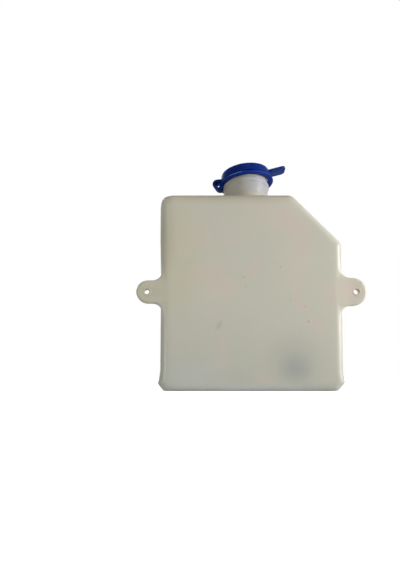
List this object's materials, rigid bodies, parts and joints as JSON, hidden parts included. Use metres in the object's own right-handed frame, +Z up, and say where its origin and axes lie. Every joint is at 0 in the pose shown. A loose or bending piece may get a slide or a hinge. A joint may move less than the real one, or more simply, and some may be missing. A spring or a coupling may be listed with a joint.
{
  "type": "washer fluid reservoir",
  "caption": "Blow-moulded washer fluid tank with mounting ears, a slanted shoulder, a leaning filler neck with a strapped snap cap, and an electric pump plugged into a pocket at the back.",
  "frame": {"origin": "middle of the flat base that the tank stands on", "axes": "+Z up; -Y out of the face that is flush with the two mounting ears; +X towards the slanted shoulder and the pump"},
  "size_m": [0.1984, 0.088, 0.2083],
  "materials": {
    "milky_polyethylene": "translucent natural polyethylene with a fine matt mould skin, a little yellowed and scuffed",
    "blue_polyethylene": "dark blue moulded polyethylene, satin",
    "black_nylon": "moulded, satin",
    "black_rubber": "moulded, matt",
    "white_acetal": "moulded, satin",
    "plated_steel": "drawn and zinc plated",
    "enamelled_copper": "wound copper wire under clear enamel",
    "brass": "stamped",
    "sintered_bronze": "sintered, oiled",
    "ferrite": "pressed and sintered",
    "carbon": "pressed"
  },
  "bodies": {
    "tank": {"tank": "milky_polyethylene", "pump_housing": "black_nylon", "pump_base_cover": "black_nylon", "cover_seal_ring": "black_rubber", "shaft_seal": "black_rubber", "pump_grommet": "black_rubber", "inlet_strainer": "white_acetal", "pump_top_cap": "black_nylon", "left_terminal": "brass", "right_terminal": "brass", "motor_can": "plated_steel", "lower_bearing": "sintered_bronze", "upper_bearing": "sintered_bronze", "left_magnet": "ferrite", "right_magnet": "ferrite", "left_brush": "carbon", "right_brush": "carbon", "motor_end_plate": "black_nylon"},
    "ring": {"cap_ring": "blue_polyethylene"},
    "lid": {"cap_lid": "blue_polyethylene"},
    "rotor": {"impeller": "white_acetal", "motor_shaft": "plated_steel", "armature_core": "plated_steel", "winding_1": "enamelled_copper", "winding_2": "enamelled_copper", "winding_3": "enamelled_copper", "commutator": "enamelled_copper"}
  },
  "joints": [
    {"name": "ring_swivel", "type": "hinge", "parent": "tank", "child": "ring", "pos_m": [-0.0015, 0, 0.1894], "axis": [0, 0.1392, 0.9903], "continuous": true},
    {"name": "lid_hinge", "type": "hinge", "parent": "ring", "child": "lid", "pos_m": [-0.03212, 0.00022, 0.19098], "axis": [0, -0.9903, 0.1392], "range_deg": [0, 150]},
    {"name": "rotor_spin", "type": "hinge", "parent": "tank", "child": "rotor", "pos_m": [0.043, 0.026, 0.0353], "axis": [0, 0, 1], "continuous": true}
  ]
}
